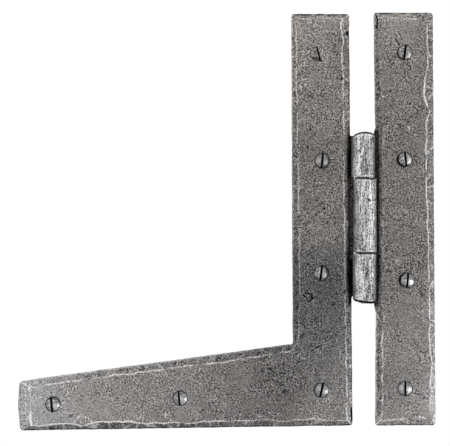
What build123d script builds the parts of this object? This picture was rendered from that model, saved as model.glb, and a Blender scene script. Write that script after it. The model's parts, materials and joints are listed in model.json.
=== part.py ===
from build123d import *
import os

# A hand-forged H-L hinge, ten inches high, in millimetres. +Z runs up the pin and +X points to the
# straight leaf. The leaves' fronts face -Y, and their backs lie on the plane Y = 0, where the door and the
# frame are. The origin is on that plane, behind the pin and level with the middle of the barrel.

# Plate and barrel. The knuckles are the plate's own metal, rolled forward around the pin.
PLATE = 4.0
PIN_R = 3.2
BARREL_R = PIN_R + PLATE
PIN_Y = -BARREL_R
BARREL_TOP = 52.8
BARREL_BOTTOM = -52.9
UPPER_JOINT = 24.3
LOWER_JOINT = -21.7
KNUCKLE_GAP = 0.4
RUNNING_CLEARANCE = 0.05
SEAM = 0.5
TAB_REACH = 14.0

# Outlines of the leaves, as (x, z). The upright and the arm of the L are one plate.
DOOR_TOP = 125.6
DOOR_UPRIGHT_LEFT_TOP = (-44.8, DOOR_TOP)
DOOR_UPRIGHT_RIGHT_TOP = (-8.9, DOOR_TOP)
DOOR_HEEL = (-6.8, -128.1)
ARM_TIP_BOTTOM = (-211.6, -131.3)
ARM_TIP_MIDDLE = (-213.1, -116.0)
ARM_TIP_TOP = (-212.3, -100.6)
DOOR_INNER_CORNER = (-43.9, -77.6)
FRAME_TOP = 126.4
FRAME_BOTTOM = -128.1
FRAME_LEFT = ((5.9, FRAME_TOP), (7.2, 56.0), (7.3, -60.0), (6.8, FRAME_BOTTOM))
FRAME_RIGHT = ((44.3, FRAME_BOTTOM), (42.7, FRAME_TOP))

# The fronts' edges are hammered down to a broad shallow bevel.
BEVEL_DEPTH = 1.0
BEVEL_WIDTH = 3.6

# Wood screws, a No. 10 round head one inch long, each sunk in a shallow seat.
SEAT_R = 5.2
SEAT_DEPTH = 1.2
HOLE_R = 2.7
HEAD_R = 4.5
HEAD_RIM = 0.7
HEAD_HEIGHT = 3.0
SLOT_WIDTH = 1.3
SLOT_DEPTH = 1.9
SHANK_R = 2.4
SHANK_LENGTH = 8.4
THREAD_R = 2.0
SCREW_LENGTH = 25.4
POINT_LENGTH = 5.0

# Each screw's place, as (x, z), and its slot's lean from upright in degrees, positive to the door side.
DOOR_SCREWS = {
    "door_screw_top": ((-28.2, 100.8), 15),
    "door_screw_upper": ((-25.6, 35.1), -6),
    "door_screw_lower": ((-26.3, -34.2), -7),
    "door_screw_corner": ((-26.0, -106.2), -13),
    "arm_screw_middle": ((-113.0, -111.2), 5),
    "arm_screw_tip": ((-191.4, -115.0), 5),
}
FRAME_SCREWS = {
    "frame_screw_top": ((25.2, 101.7), -8),
    "frame_screw_upper": ((25.3, 36.0), 7),
    "frame_screw_lower": ((26.6, -38.5), -5),
    "frame_screw_bottom": ((25.5, -105.2), 0),
}
TOWARDS_DOOR = -1
TOWARDS_FRAME = 1

os.makedirs("parts", exist_ok=True)


def plate(outline, screws):
    """A flat leaf with bevelled front edges and a seated hole for each screw."""
    with BuildSketch(Plane.XZ) as leaf:
        with BuildLine():
            Polyline(*outline, close=True)
        make_face()
    extrude(leaf.sketch, amount=PLATE)
    front = faces().sort_by(Axis.Y)[0]
    chamfer(front.edges(), length=BEVEL_WIDTH, length2=BEVEL_DEPTH, reference=front)
    for (x, z), lean in screws.values():
        with Locations(Plane((x, -PLATE, z), x_dir=(1, 0, 0), z_dir=(0, -1, 0))):
            CounterBoreHole(radius=HOLE_R, counter_bore_radius=SEAT_R, counter_bore_depth=SEAT_DEPTH, depth=PLATE)


def knuckle(bottom, top, side, bore_r):
    """A tab of the leaf on the given side, rolled around the pin, with the seam where its end comes down."""
    height = top - bottom
    with BuildSketch(Plane.XY.offset(bottom)) as tab_and_roll:
        with Locations((side * TAB_REACH / 2, -PLATE / 2)):
            Rectangle(TAB_REACH, PLATE)
        with Locations((0, PIN_Y)):
            Circle(BARREL_R)
    extrude(tab_and_roll.sketch, amount=height)
    with BuildSketch(Plane.XY.offset(bottom)) as bore_and_seam:
        with Locations((0, PIN_Y)):
            Circle(bore_r)
        with Locations((side * BARREL_R / 2, -PLATE - SEAM / 2)):
            Rectangle(BARREL_R, SEAM)
    extrude(bore_and_seam.sketch, amount=height, mode=Mode.SUBTRACT)


with BuildPart() as frame_leaf:
    plate(FRAME_LEFT + FRAME_RIGHT, FRAME_SCREWS)
    middle_bottom = LOWER_JOINT + KNUCKLE_GAP / 2
    middle_top = UPPER_JOINT - KNUCKLE_GAP / 2
    knuckle(middle_bottom, middle_top, TOWARDS_FRAME, PIN_R + RUNNING_CLEARANCE)

with BuildPart() as door_leaf:
    plate(
        (
            DOOR_UPRIGHT_LEFT_TOP,
            DOOR_UPRIGHT_RIGHT_TOP,
            DOOR_HEEL,
            ARM_TIP_BOTTOM,
            ARM_TIP_MIDDLE,
            ARM_TIP_TOP,
            DOOR_INNER_CORNER,
        ),
        DOOR_SCREWS,
    )
    knuckle(UPPER_JOINT + KNUCKLE_GAP / 2, BARREL_TOP, TOWARDS_DOOR, PIN_R)
    knuckle(BARREL_BOTTOM, LOWER_JOINT - KNUCKLE_GAP / 2, TOWARDS_DOOR, PIN_R)

# The pin is held tight in the two outer knuckles, and its ends are hammered flush with them.
with BuildPart() as hinge_pin:
    with BuildSketch(Plane.XY.offset(BARREL_BOTTOM)):
        with Locations((0, PIN_Y)):
            Circle(PIN_R)
    extrude(amount=BARREL_TOP - BARREL_BOTTOM)
    chamfer(edges().filter_by(GeomType.CIRCLE), length=0.4)


def wood_screw(name, place, lean):
    """A slotted round-head wood screw with its head seated in the leaf and its point into the timber."""
    x, z = place
    seat = (x, SEAT_DEPTH - PLATE, z)
    thread_end = SCREW_LENGTH - POINT_LENGTH
    with BuildPart() as screw:
        with BuildSketch(Plane(seat, x_dir=(1, 0, 0), z_dir=(0, 0, 1))):
            with BuildLine():
                TangentArc((0, -HEAD_HEIGHT), (HEAD_R, -HEAD_RIM), tangent=(1, 0))
                Polyline(
                    (HEAD_R, -HEAD_RIM),
                    (HEAD_R, 0),
                    (SHANK_R, 0),
                    (SHANK_R, SHANK_LENGTH),
                    (THREAD_R, SHANK_LENGTH),
                    (THREAD_R, thread_end),
                    (0, SCREW_LENGTH),
                    (0, -HEAD_HEIGHT),
                )
            make_face()
        revolve(axis=Axis(seat, (0, 1, 0)))
        along_slot = Vector(0, 0, 1).rotate(Axis.Y, -lean)
        crown = (x, seat[1] - HEAD_HEIGHT, z)
        with BuildSketch(Plane(crown, x_dir=along_slot, z_dir=(0, 1, 0))):
            Rectangle(3 * HEAD_R, SLOT_WIDTH)
        extrude(amount=SLOT_DEPTH, mode=Mode.SUBTRACT)
    screw.part.label = name
    export_step(screw.part, f"parts/{name}.step")


frame_leaf.part.label = "frame_leaf"
export_step(frame_leaf.part, "parts/frame_leaf.step")
door_leaf.part.label = "door_leaf"
export_step(door_leaf.part, "parts/door_leaf.step")
hinge_pin.part.label = "hinge_pin"
export_step(hinge_pin.part, "parts/hinge_pin.step")
for screw_name, (screw_place, slot_lean) in (DOOR_SCREWS | FRAME_SCREWS).items():
    wood_screw(screw_name, screw_place, slot_lean)
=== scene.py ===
import json
import math
from collections import Counter, namedtuple
from functools import partialmethod

import bpy
import numpy as np
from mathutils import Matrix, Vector
from mathutils.geometry import delaunay_2d_cdt

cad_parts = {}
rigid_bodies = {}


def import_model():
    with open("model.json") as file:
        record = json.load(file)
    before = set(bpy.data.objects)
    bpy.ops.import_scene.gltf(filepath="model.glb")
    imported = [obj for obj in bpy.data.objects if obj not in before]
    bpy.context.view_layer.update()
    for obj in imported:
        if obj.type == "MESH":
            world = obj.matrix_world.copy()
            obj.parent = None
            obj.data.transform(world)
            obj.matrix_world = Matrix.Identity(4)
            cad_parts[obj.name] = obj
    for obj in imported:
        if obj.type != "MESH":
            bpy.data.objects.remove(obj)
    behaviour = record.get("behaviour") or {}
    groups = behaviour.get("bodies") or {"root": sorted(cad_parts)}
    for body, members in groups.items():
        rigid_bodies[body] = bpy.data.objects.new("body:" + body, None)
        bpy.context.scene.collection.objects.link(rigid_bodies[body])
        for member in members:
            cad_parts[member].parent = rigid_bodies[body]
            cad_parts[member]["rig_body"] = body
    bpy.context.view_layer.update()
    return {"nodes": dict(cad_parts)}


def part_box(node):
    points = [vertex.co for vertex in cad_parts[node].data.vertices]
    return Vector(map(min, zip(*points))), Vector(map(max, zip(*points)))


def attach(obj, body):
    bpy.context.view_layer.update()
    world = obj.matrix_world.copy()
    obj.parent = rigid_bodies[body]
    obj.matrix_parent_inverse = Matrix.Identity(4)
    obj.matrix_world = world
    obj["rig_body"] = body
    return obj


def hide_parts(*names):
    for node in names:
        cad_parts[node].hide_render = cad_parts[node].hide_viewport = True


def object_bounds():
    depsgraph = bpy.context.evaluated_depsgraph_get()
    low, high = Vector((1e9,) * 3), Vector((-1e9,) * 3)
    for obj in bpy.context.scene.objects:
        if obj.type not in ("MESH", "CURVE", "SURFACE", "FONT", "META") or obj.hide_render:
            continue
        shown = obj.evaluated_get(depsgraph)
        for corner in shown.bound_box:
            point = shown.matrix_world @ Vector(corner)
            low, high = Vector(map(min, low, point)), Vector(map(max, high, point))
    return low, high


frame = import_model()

# A hand-forged H-L hinge. Shapes are worked out in millimetres and written to meshes in metres.
# The leaves' backs lie on the plane y = 0, their fronts face -Y, and the pin runs along Z.
MM = 0.001
DOOR_SIDE = -1
FRAME_SIDE = 1


def node_box(name):
    """Lowest and highest corner of a CAD node in millimetres."""
    low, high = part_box(name)
    return np.array(low) / MM, np.array(high) / MM


# --- sizes taken from the frame ---
pin_low, pin_high = node_box("hinge_pin")
PIN_R = (pin_high[0] - pin_low[0]) / 2
PIN_Y = (pin_high[1] + pin_low[1]) / 2
BARREL_R = -PIN_Y
PLATE = BARREL_R - PIN_R
ROLL_END = math.radians(293)
ROLL_LENGTH = BARREL_R * ROLL_END

# --- sizes of the fastenings' seats in the leaves ---
HOLE_R = 2.7
SEAT_R = 4.58
SEAT_DEPTH = 1.2


# --- small maths helpers ---
def smooth(value, low, high):
    """0 below low, 1 above high, and a smooth step between."""
    t = np.clip((value - low) / (high - low), 0, 1)
    return t * t * (3 - 2 * t)


def fade(value, low, high):
    """1 below low, 0 above high, and a smooth step between."""
    return 1 - smooth(value, low, high)


def lengths(vectors):
    """Each vector's length."""
    return np.linalg.norm(vectors, axis=1)


def eased(ring):
    """A closed ring with each point drawn halfway to the middle of its neighbours."""
    return (np.roll(ring, 1, axis=0) + 2 * ring + np.roll(ring, -1, axis=0)) / 4


class Grain:
    """Smooth random numbers over a plane, the same on every run."""

    CELLS = 256

    def __init__(self, seed):
        self.values = np.random.default_rng(seed).standard_normal((self.CELLS, self.CELLS))

    def __call__(self, a, b, size_a, size_b=None):
        n = self.CELLS
        ga, gb = a / size_a, b / (size_b or size_a)
        ia, ib = np.floor(ga).astype(int), np.floor(gb).astype(int)
        fa, fb = ga - ia, gb - ib
        fa, fb = fa * fa * (3 - 2 * fa), fb * fb * (3 - 2 * fb)
        low = self.values[ia % n, ib % n] * (1 - fa) + self.values[(ia + 1) % n, ib % n] * fa
        high = self.values[ia % n, (ib + 1) % n] * (1 - fa) + self.values[(ia + 1) % n, (ib + 1) % n] * fa
        return low * (1 - fb) + high * fb


def edges_of(corners):
    """The sides of a closed outline, each as its two ends."""
    return zip(corners, np.roll(corners, -1, axis=0))


def inside(points, corners):
    """Which points are inside the closed outline."""
    hit = np.zeros(len(points), bool)
    x, z = points.T
    for (x0, z0), (x1, z1) in edges_of(corners):
        if z0 != z1:
            hit ^= ((z0 > z) != (z1 > z)) & (x < (x1 - x0) * (z - z0) / (z1 - z0) + x0)
    return hit


def segment_distance(points, a, b):
    """Distance from each point to the straight line from a to b."""
    d = b - a
    t = np.clip(((points - a) @ d) / (d @ d), 0, 1)
    return lengths(points - a - t[:, None] * d)


def rim_distance(points, corners):
    """Distance from each point to the closed outline."""
    return np.min([segment_distance(points, a, b) for a, b in edges_of(corners)], axis=0)


# --- the leaves' outlines, read from the CAD leaves' back faces ---
def back_corners(node):
    """The corners (x, z) of a CAD leaf's back face, counter-clockwise from the front, from its top left."""
    mesh = frame["nodes"][node].data
    place = [tuple(round(c / MM, 2) for c in v.co) for v in mesh.vertices]
    sides = Counter()
    for face in mesh.polygons:
        ring = [place[i] for i in face.vertices]
        if all(abs(y) < 0.01 for _, y, _ in ring):
            flat = [(x, z) for x, _, z in ring]
            sides.update(zip(flat, flat[1:] + flat[:1]))
    onward = {a: b for a, b in sides if (b, a) not in sides}
    loops = []
    while onward:
        loop = [next(iter(onward))]
        while loop[-1] in onward:
            loop.append(onward.pop(loop[-1]))
        loops.append(np.array(loop[:-1]))
    rim = max(loops, key=lambda loop: np.ptp(loop[:, 0]) * np.ptp(loop[:, 1]))
    one, two = rim - np.roll(rim, 1, axis=0), np.roll(rim, -1, axis=0) - rim
    turn = (one[:, 0] * two[:, 1] - one[:, 1] * two[:, 0]) / lengths(one) / lengths(two)
    rim = rim[np.abs(turn) > 0.004]
    area = np.sum(rim[:, 0] * np.roll(rim[:, 1], -1) - np.roll(rim[:, 0], -1) * rim[:, 1])
    rim = rim if area > 0 else rim[::-1]
    high = rim[rim[:, 1] > rim[:, 1].max() - 1]
    start = int(np.argmin(lengths(rim - high[np.argmin(high[:, 0])])))
    return np.roll(rim, -start, axis=0)


def is_tab(corners):
    """Corners where a knuckle's tab leaves the leaf's edge or reaches the roll."""
    at_roll = np.abs(corners[:, 0]) < 0.05
    return at_roll | np.roll(at_roll, 1) | np.roll(at_roll, -1)


def turns_out(corners):
    """Corners that stick out, rather than in."""
    one, two = corners - np.roll(corners, 1, axis=0), np.roll(corners, -1, axis=0) - corners
    return one[:, 0] * two[:, 1] > one[:, 1] * two[:, 0]


# --- hammered bevels ---
# Each edge, counter-clockwise from the top of the left edge: how deep its bevel falls, how bright its ridge is
# worn, how much lighter its skin is than the face's, how black its rim is (below 0, how bright), and its width
# at distances along the edge. The widths are what a hand with a hammer leaves. Looks that change along an edge
# are given as several numbers, spread evenly over it.
DOOR_BEVELS = (
    (0.95, 0.6, -0.06, -0.4, ((0, 3), (30, 3.2), (60, 3.4), (100, 3.9), (130, 4.5), (172, 4.5), (203, 3.5))),
    (1.05, 0.72, -0.045, -0.42, ((0, 3), (4, 4.4), (12, 4.7), (40, 5.3), (75, 4.9), (120, 4.5), (170, 4.4))),
    (1.20, 1, -0.04, 0.4, ((0, 6.9), (15, 7.3))),
    (1.20, 1, -0.04, 0.4, ((0, 7.3), (15, 7))),
    (1.10, (1, 1, 1, 0.8, 0.7, 0.7), (-0.17, -0.16, -0.17, -0.06, 0, -0.03), 1,
     ((0, 3.2), (14, 3), (24, 4.3), (32, 4), (37, 1.9), (43, 3.6), (49, 4.9), (64, 4.5), (76, 3.5), (96, 3.8),
      (104, 2.2), (112, 4.1), (134, 4), (150, 4.8), (160, 3.3), (178, 4.5), (190, 3.7), (204, 3))),
    (1, 0.8, 0, 0.7,
     ((0, 2.4), (8, 4.6), (13, 3), (30, 3.8), (70, 3.9), (180, 4), (205, 4.1), (218, 4), (227, 5), (234, 3.7),
      (245, 4.9), (254, 4.2))),
    (0.80, 0.5, -0.01, 1.5, ((0, 3.1), (12, 2.8), (36, 3.3))),
)
FRAME_BEVELS = (
    (0.85, 0.30, -0.06, -0.35, ((0, 3.4), (20, 3), (45, 4.2), (70, 4.6))),
    (0.90, 0.40, -0.05, 0, ((0, 4.4), (116, 4.4))),
    (1, 0.65, -0.08, -0.45, ((0, 5.2), (20, 4.2), (40, 4.9), (68, 4))),
    (0.70, 0.6, 0, 0.6, ((0, 2.6), (16, 4.2), (38, 5.6))),
    (1.15, 1, 0, 0.25,
     ((0, 2), (9, 3.3), (22, 3.5), (36, 1.8), (46, 3.2), (84, 3.5), (130, 4.2), (160, 4.9), (188, 4.7),
      (192, 2.8), (197, 1.9), (201, 5), (212, 5.9), (217, 4.3), (222, 3.7), (240, 3.8), (255, 3.3))),
    (0.60, 0.35, -0.01, 1.1, ((0, 4.4), (18, 4), (37, 3.4))),
)
BLOW_SPACING = 5.5


def part_way(look, t):
    """A look's value at a part of the way along its edge, from 0 to 1."""
    return np.interp(t, np.linspace(0, 1, np.size(look)), np.atleast_1d(look))


def bevel_blows(corners, bevels, seed):
    """Hammer blows along the edges: place, along, inwards, width, depth, twist, hollow, ends, and looks."""
    rng = np.random.default_rng(seed)
    blows = []
    for (a, b), (depth, *looks, widths) in zip(edges_of(corners), bevels):
        length = np.linalg.norm(b - a)
        along = (b - a) / length
        inward = np.array([-along[1], along[0]])
        count = max(2, round(length / BLOW_SPACING))
        for i in range(count):
            s = (i + 0.5 + rng.uniform(-0.35, 0.35)) * length / count
            width = np.interp(s, *zip(*widths)) * rng.uniform(0.94, 1.08)
            here = [part_way(look, s / length) for look in looks]
            blows.append((a + along * s, along, inward, width, depth * rng.uniform(0.85, 1.15),
                          rng.uniform(-0.035, 0.035), rng.uniform(0.004, 0.012), (-s, length - s), here))
    return blows


def hammered(points, blows):
    """How far the blows cut below the face (less than 0 where they miss), their ridges' wear, skin and rim."""
    cut = np.full(len(points), -9.0)
    second, last = cut.copy(), np.zeros(len(points), int)
    for k, (place, along, inward, width, depth, twist, hollow, (start, end), _) in enumerate(blows):
        offset = points - place
        s, q = offset @ along, offset @ inward
        near = (np.abs(s) < 25) & (q < 12)
        s, q = s[near], q[near]
        slope = np.where(q > 0, 1 - q / width, 1 + q / 3.0)
        past_end = np.maximum(np.maximum(start - s, s - end), 0)
        value = depth * slope + twist * s - hollow * s * s - 0.45 * past_end
        now = cut[near]
        second[near] = np.where(value > now, now, np.maximum(second[near], value))
        last[near] = np.where(value > now, k, last[near])
        cut[near] = np.maximum(value, now)
    worn, skin, rim = np.array([blow[-1] for blow in blows])[last].T
    skin = skin * smooth(cut, 0.0, 0.2)
    broken = smooth(middle_grain(points[:, 0] + 31, points[:, 1], 4.5) + worn, -0.7, 0.9)
    ridge = fade(np.abs(cut), 0.02, 0.18) * worn * broken
    between = fade(cut - second, 0.01, 0.06) * smooth(cut, 0.05, 0.3) * worn * 0.45
    return cut, np.maximum(ridge, between), skin, rim


# --- marks on the faces ---
# Dents: (x, z), radius across and up, depth, and how bright the lip is.
DENTS = (
    ((-35.5, -47), 4.2, 2.8, 0.16, 0.35), ((-31, -49), 3, 2.6, 0.14, 0.3),
    ((-19.6, 35.1), 2.4, 2, 0.16, 0.35), ((-164, -112), 2.6, 1.2, 0.16, 0.35),
    ((-30.5, -82.5), 4.2, 1.5, 0.20, 0.4), ((-10.1, 113.6), 1.5, 3, 1.00, 0.8),
    ((17.4, -30), 1.2, 1.6, 0.30, 0.6), ((23.5, 73), 2.5, 4, 0.12, 0.3), ((-35, 81), 2, 3, 0.14, 0.3),
    ((-172.8, -125), 4.4, 2.8, 0.14, 0), ((-66, -98), 7, 5, 0.10, 0), ((-20, -67), 6, 8, 0.10, 0),
)
# Scratches: from (x, z) to (x, z), half width, and depth.
SCRATCHES = (
    ((19.4, 110.4), (21.9, 106.2), 0.55, 0.40), ((19, 113.2), (20.6, 111.4), 0.40, 0.25),
    ((21, 114.6), (22.8, 112.4), 0.40, 0.25), ((22.2, 112), (23.8, 110.2), 0.40, 0.25),
    ((30.9, -108.1), (35.4, -108.9), 0.50, 0.20), ((35.4, -108.9), (39.8, -111.8), 0.42, 0.16),
    ((32.4, 66.4), (30, 69.4), 0.45, 0.28), ((32.6, 63.8), (33.4, 66.6), 0.40, 0.24),
    ((29, 61.8), (30.6, 64.2), 0.40, 0.20), ((-43.7, -80.5), (-43.5, -98), 0.30, 0.10),
    ((-95.8, -113.5), (-92.8, -121), 0.45, 0.18), ((-39, -100.6), (-37.4, -107.5), 0.40, 0.20),
    ((-31.9, -81.6), (-25.7, -78.3), 0.45, 0.30), ((-33.5, -79), (-28.5, -80.4), 0.40, 0.20),
    ((7.2, 125.4), (8.6, 121.6), 0.42, 0.50), ((8.6, 121.6), (7.9, 116.5), 0.38, 0.45),
    ((-21.6, 35.4), (-19.2, 35.9), 0.28, 0.24), ((-19.2, 35.9), (-18.7, 34.9), 0.25, 0.20),
    ((-7.7, -117.5), (-7.4, -124.5), 0.60, 0.50), ((10, -62), (7.6, -70), 0.40, 0.16),
    ((-35.8, -46.4), (-32.2, -47.2), 0.50, 0.30), ((-31.9, -47.9), (-31.7, -49.8), 0.60, 0.36),
    ((-31.4, -50.1), (-34.3, -51.9), 0.50, 0.32), ((-37.6, -47.4), (-35, -49.6), 0.50, 0.32),
)
# Creases thrown up by the hammer: from (x, z) to (x, z), and how bright they are worn.
RIDGES = (
    ((-205.2, -104.4), (-211.8, -101), 0.7), ((-205.2, -104.4), (-200.5, -104.4), 0.6),
    ((-205.2, -104.4), (-205.7, -113), 0.45), ((-205.7, -113), (-205.3, -120.5), 0.35),
    ((-205.3, -120.5), (-211.4, -129.8), 0.65), ((-208.3, -105), (-208.4, -121), 0.35),
    ((-178.1, -125.8), (-174.7, -121.8), 0.85), ((-174.7, -121.8), (-169.8, -123.3), 0.65),
    ((-169.8, -123.3), (-167.2, -125.8), 0.85), ((-10.6, -124), (-7.4, -127.6), 0.9),
    ((10.4, -124.4), (7.4, -127.6), 0.7), ((7.4, -58), (10.4, -63.6), 0.6),
)

# Rough places, where the scale has pitted the steel: (x, z), radius and strength.
ROUGH = (
    ((-30, 121), 9, 0.5), ((-14, 119), 7, 0.5), ((-38, 85), 7, 0.9), ((-34, 76), 6, 0.7),
    ((-40, -87), 5.5, 1), ((-14.5, -84), 5, 0.8), ((-30.5, -114), 4, 1), ((-36, -48), 5, 0.8),
    ((-26, -40), 9, 0.5), ((-120, -122), 6, 0.6), ((-56, -124), 9, 0.6), ((-150, -104), 8, 0.4),
    ((11, 75), 6, 0.9), ((10, 95), 5, 0.6), ((27, 57), 5, 0.7), ((20, -25), 6, 0.7), ((-48, -100), 7, 0.7),
    ((-28, -97), 8, 0.6), ((-76, -124), 7, 1), ((-66, -123), 6, 0.8), ((-60, -84), 8, 0.8),
    ((-92, -86), 6, 0.6), ((33, -63), 7, 0.6), ((13, -110), 6, 0.6), ((35, 122), 5, 0.7),
    ((12, 60), 5, 0.5),
)


def roughness(points):
    """How rough the skin is at each point, from 0 to 1."""
    rough = np.zeros(len(points))
    for centre, radius, strength in ROUGH:
        r = lengths(points - np.array(centre)) / radius
        rough = np.maximum(rough, strength * fade(r, 0.4, 1.1))
    return rough


def marks(points):
    """How far dents and scratches sink, their bright rims and dark floors, and where they wipe out a bevel."""
    drop, bright, dark, wiped = np.zeros((4, len(points)))
    for (x, z), across, up, depth, lip_wear in DENTS:
        r = np.hypot((points[:, 0] - x) / across, (points[:, 1] - z) / up)
        drop += depth * fade(r, 0.0, 1.05)
        wiped = np.maximum(wiped, fade(r, 0.7, 0.95) * (depth > 0.25))
        lip = fade(np.abs(r - 0.98), 0.04, 0.2) * lip_wear
        bright = np.maximum(bright, lip * smooth(middle_grain(points[:, 0], points[:, 1] + 9, 3.0), -1.0, 0.8))
        dark = np.maximum(dark, fade(r, 0.2, 0.9) * np.clip(depth - 0.5, 0, 1) * 2)
    for a, b, half, depth in SCRATCHES:
        d = segment_distance(points, np.array(a), np.array(b))
        drop += depth * fade(d, 0.2 * half, 1.6 * half)
        dark = np.maximum(dark, fade(d, 0.5 * half, 1.3 * half) * min(1, depth * 3))
        burr = 1.3 * depth if depth < 0.42 else 0.2
        bright = np.maximum(bright, fade(np.abs(d - 1.9 * half), 0.1, 0.5) * burr)
    for a, b, worn in RIDGES:
        crease = fade(segment_distance(points, np.array(a), np.array(b)), 0.15, 0.55)
        drop -= 0.12 * worn * crease
        broken = smooth(middle_grain(points[:, 0], points[:, 1] + 4, 2.5), -1.6, 0.2)
        bright = np.maximum(bright, worn * crease * broken)
    return drop, bright, dark, wiped


CREASE_REACH = (10.2, 9.6)
coarse_grain, middle_grain, fine_grain, streak_grain = Grain(11), Grain(12), Grain(13), Grain(14)
pit_grain = Grain(15)


def beside_barrel(x, z):
    """1 in the creases on both sides of the barrel, falling to 0 at their reach from the pin."""
    ends = smooth(z, pin_low[2] - 3, pin_low[2] + 1) * fade(z, pin_high[2] - 1, pin_high[2] + 3)
    beyond = np.abs(x) + 0.25 * middle_grain(x * 0, z, 5.0) - np.where(x < 0, *CREASE_REACH)
    return fade(beyond, -1.2, 0.0) * ends


def shadow_weight(away, side):
    """How strongly the painted shadow round a screw falls in each direction, by the side (in degrees) where it
    is thickest.
    """
    turn = math.radians(side)
    return 0.55 + 0.45 * (away @ np.array([math.cos(turn), math.sin(turn)]))


def leaf_front(points, blows, seats, edge):
    """A leaf's front: its height above the back plane, its wear, its grime with painted shade (in the crease
    beside the barrel and round the screws' seats), and its change of skin.
    """
    x, z = points.T
    cut, ridge, skin, rim = hammered(points, blows)
    sunk, bright, dark, wiped = marks(points)
    wave = 0.07 * coarse_grain(x, z, 17) + 0.035 * middle_grain(x, z, 6)
    grain = 0.022 * middle_grain(x + 40, z, 2.1) + 0.030 * fine_grain(x, z, 1.05)
    rough = roughness(points)
    pit = smooth(pit_grain(x, z, 1.5) * smooth(coarse_grain(x, z + 60, 12), -0.8, 1.2), 0.75, 1.5)
    pit = np.maximum(pit, rough * smooth(fine_grain(x + 20, z, 0.95, 1.2), 0.3, 1.2))
    bright = np.maximum(bright, 0.8 * rough * smooth(-fine_grain(x + 20, z, 0.95, 1.2), 0.5, 1.4))
    crease = beside_barrel(x, z)
    # The crease beside the barrel is drawn dark: dark patina, and painted shade of the crevice; darker still on
    # the door's side beside its own knuckles.
    crease_patina_and_shade = 0.63 + 0.25 * (x < 0) * smooth(np.abs(z), 23, 27)
    height = PLATE - 0.2 + wave + grain - np.maximum(cut, 0) - sunk - 0.16 * pit - 0.9 * crease
    height -= 0.35 * fade(edge, 0.0, 0.6)
    wear = np.maximum(ridge * (1 - wiped), bright) * (1 - crease)
    ragged = smooth(middle_grain(x + 3, z, 3.0), -1.2, 0.8)
    bright_rim = np.maximum(-rim, 0) * fade(edge, 0.4, 1.1) * (1 - crease)
    wear = np.maximum(wear, bright_rim)
    grime = np.maximum.reduce([dark, crease_patina_and_shade * crease, 0.6 * pit, rim * ragged * fade(edge, 0.35, 1.0)])
    # Round each seat the ring is drawn dark: painted shadow, thickest on the side given for its screw.
    for centre, ring_shadow, side in seats:
        r = lengths(points - centre)
        ring_shadow = ring_shadow * shadow_weight((points - centre) / np.maximum(r, 0.1)[:, None], side)
        worn_rim = 0.16 * fade(r, SEAT_R, SEAT_R + 0.9)
        height = np.where(r < SEAT_R - 0.05, PLATE - SEAT_DEPTH, height - worn_rim)
        grime = np.maximum(grime, ring_shadow * fade(r, SEAT_R - 0.1, SEAT_R + 0.25 + 1.2 * ring_shadow**2))
    return height, wear, grime, skin


def leaf_back(points, rolled, edge, shift, world_side):
    """A leaf's back, and the barrel's round where it is rolled: how far it lies in, its wear, and its grime
    with painted shade on the knuckles' flanks and rims.
    """
    x, z = points.T
    angle = rolled / BARREL_R
    outer = smooth(np.abs(z), 40, 44)
    rounding = (0.24 + 0.26 * outer) * fade(edge, 0.0, 0.55 + 0.25 * outer)
    scale = 0.05 * np.abs(coarse_grain(x, z + 30, 9)) + 0.02 * np.abs(fine_grain(x, z, 1.2))
    fibre = streak_grain(x, z, 0.62, 4.0) + 0.7 * streak_grain(x + 50, z, 0.8, 14.0)
    streaks = 0.030 * np.abs(fibre) + 0.025 * np.abs(middle_grain(x, z, 2.6, 14.0))
    pit = smooth(pit_grain(x + 90, z, 0.6, 0.9) + 0.3 * middle_grain(x, z + 50, 3.0, 6.0), 1.15, 1.7)
    flats = 0.04 * (0.5 + 0.5 * np.cos(9 * angle + 1.5 * middle_grain(z, z * 0, 11)))
    on_roll = smooth(rolled, 0.0, 3.0)
    depth = rounding + (1 - on_roll) * scale + on_roll * (streaks + 0.22 * pit + flats)
    depth += shift * np.sin(angle) + shift**2 / (2 * BARREL_R)
    foot = outer * (z < 0)
    lip = (0.36 + 0.39 * outer - 0.4 * foot) * fade(np.abs(edge - 0.9 - 0.9 * outer), 0.2, 0.7)
    wear = on_roll * np.maximum(0.6 * smooth(fibre, 0.4, 1.8), lip)
    # Painted shade: the knuckles drawn darker towards their left and right flanks, and along their ends and the
    # roll's seam, where the joints are dark and the rounded rims are shaded.
    left = world_side * np.sin(angle)
    flank_shade = (0.45 + 0.12 * outer) * smooth(left, 0.82 - 0.12 * outer, 0.95)
    flank_shade = np.maximum(flank_shade, 0.45 * smooth(-left, 0.85, 0.99))
    seam_and_rim_shade = (0.66 + 0.28 * outer) * fade(edge, 0.12 + 0.5 * outer + 0.4 * foot, 0.45 + 0.9 * outer + 0.4 * foot)
    grime = on_roll * np.maximum.reduce([0.85 * pit, 0.45 * smooth(-fibre, 0.8, 1.8), seam_and_rim_shade, flank_shade])
    return depth, wear, grime


# --- meshes ---
def triangulate(points, rims, ring, holes):
    """Triangles (counter-clockwise) over the points, without those outside the ring or across a hole."""
    sides, rim_count = [], 0
    for size in rims:
        sides += [(rim_count + i, rim_count + (i + 1) % size) for i in range(size)]
        rim_count += size
    made = delaunay_2d_cdt([Vector(p) for p in points], sides, [], 0, 1e-7, False)
    placed, tris = made[0], np.array(made[2], int)
    if len(placed) != len(points):
        raise ValueError("two points of a leaf fell together")
    on_rim = (tris < rim_count).all(axis=1)
    middle = points[tris[on_rim]].mean(axis=1)
    keep = inside(middle, ring)
    for centre, radius in holes:
        keep &= lengths(middle - centre) > radius * 0.999
    whole = np.ones(len(tris), bool)
    whole[on_rim] = keep
    return tris[whole]


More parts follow.
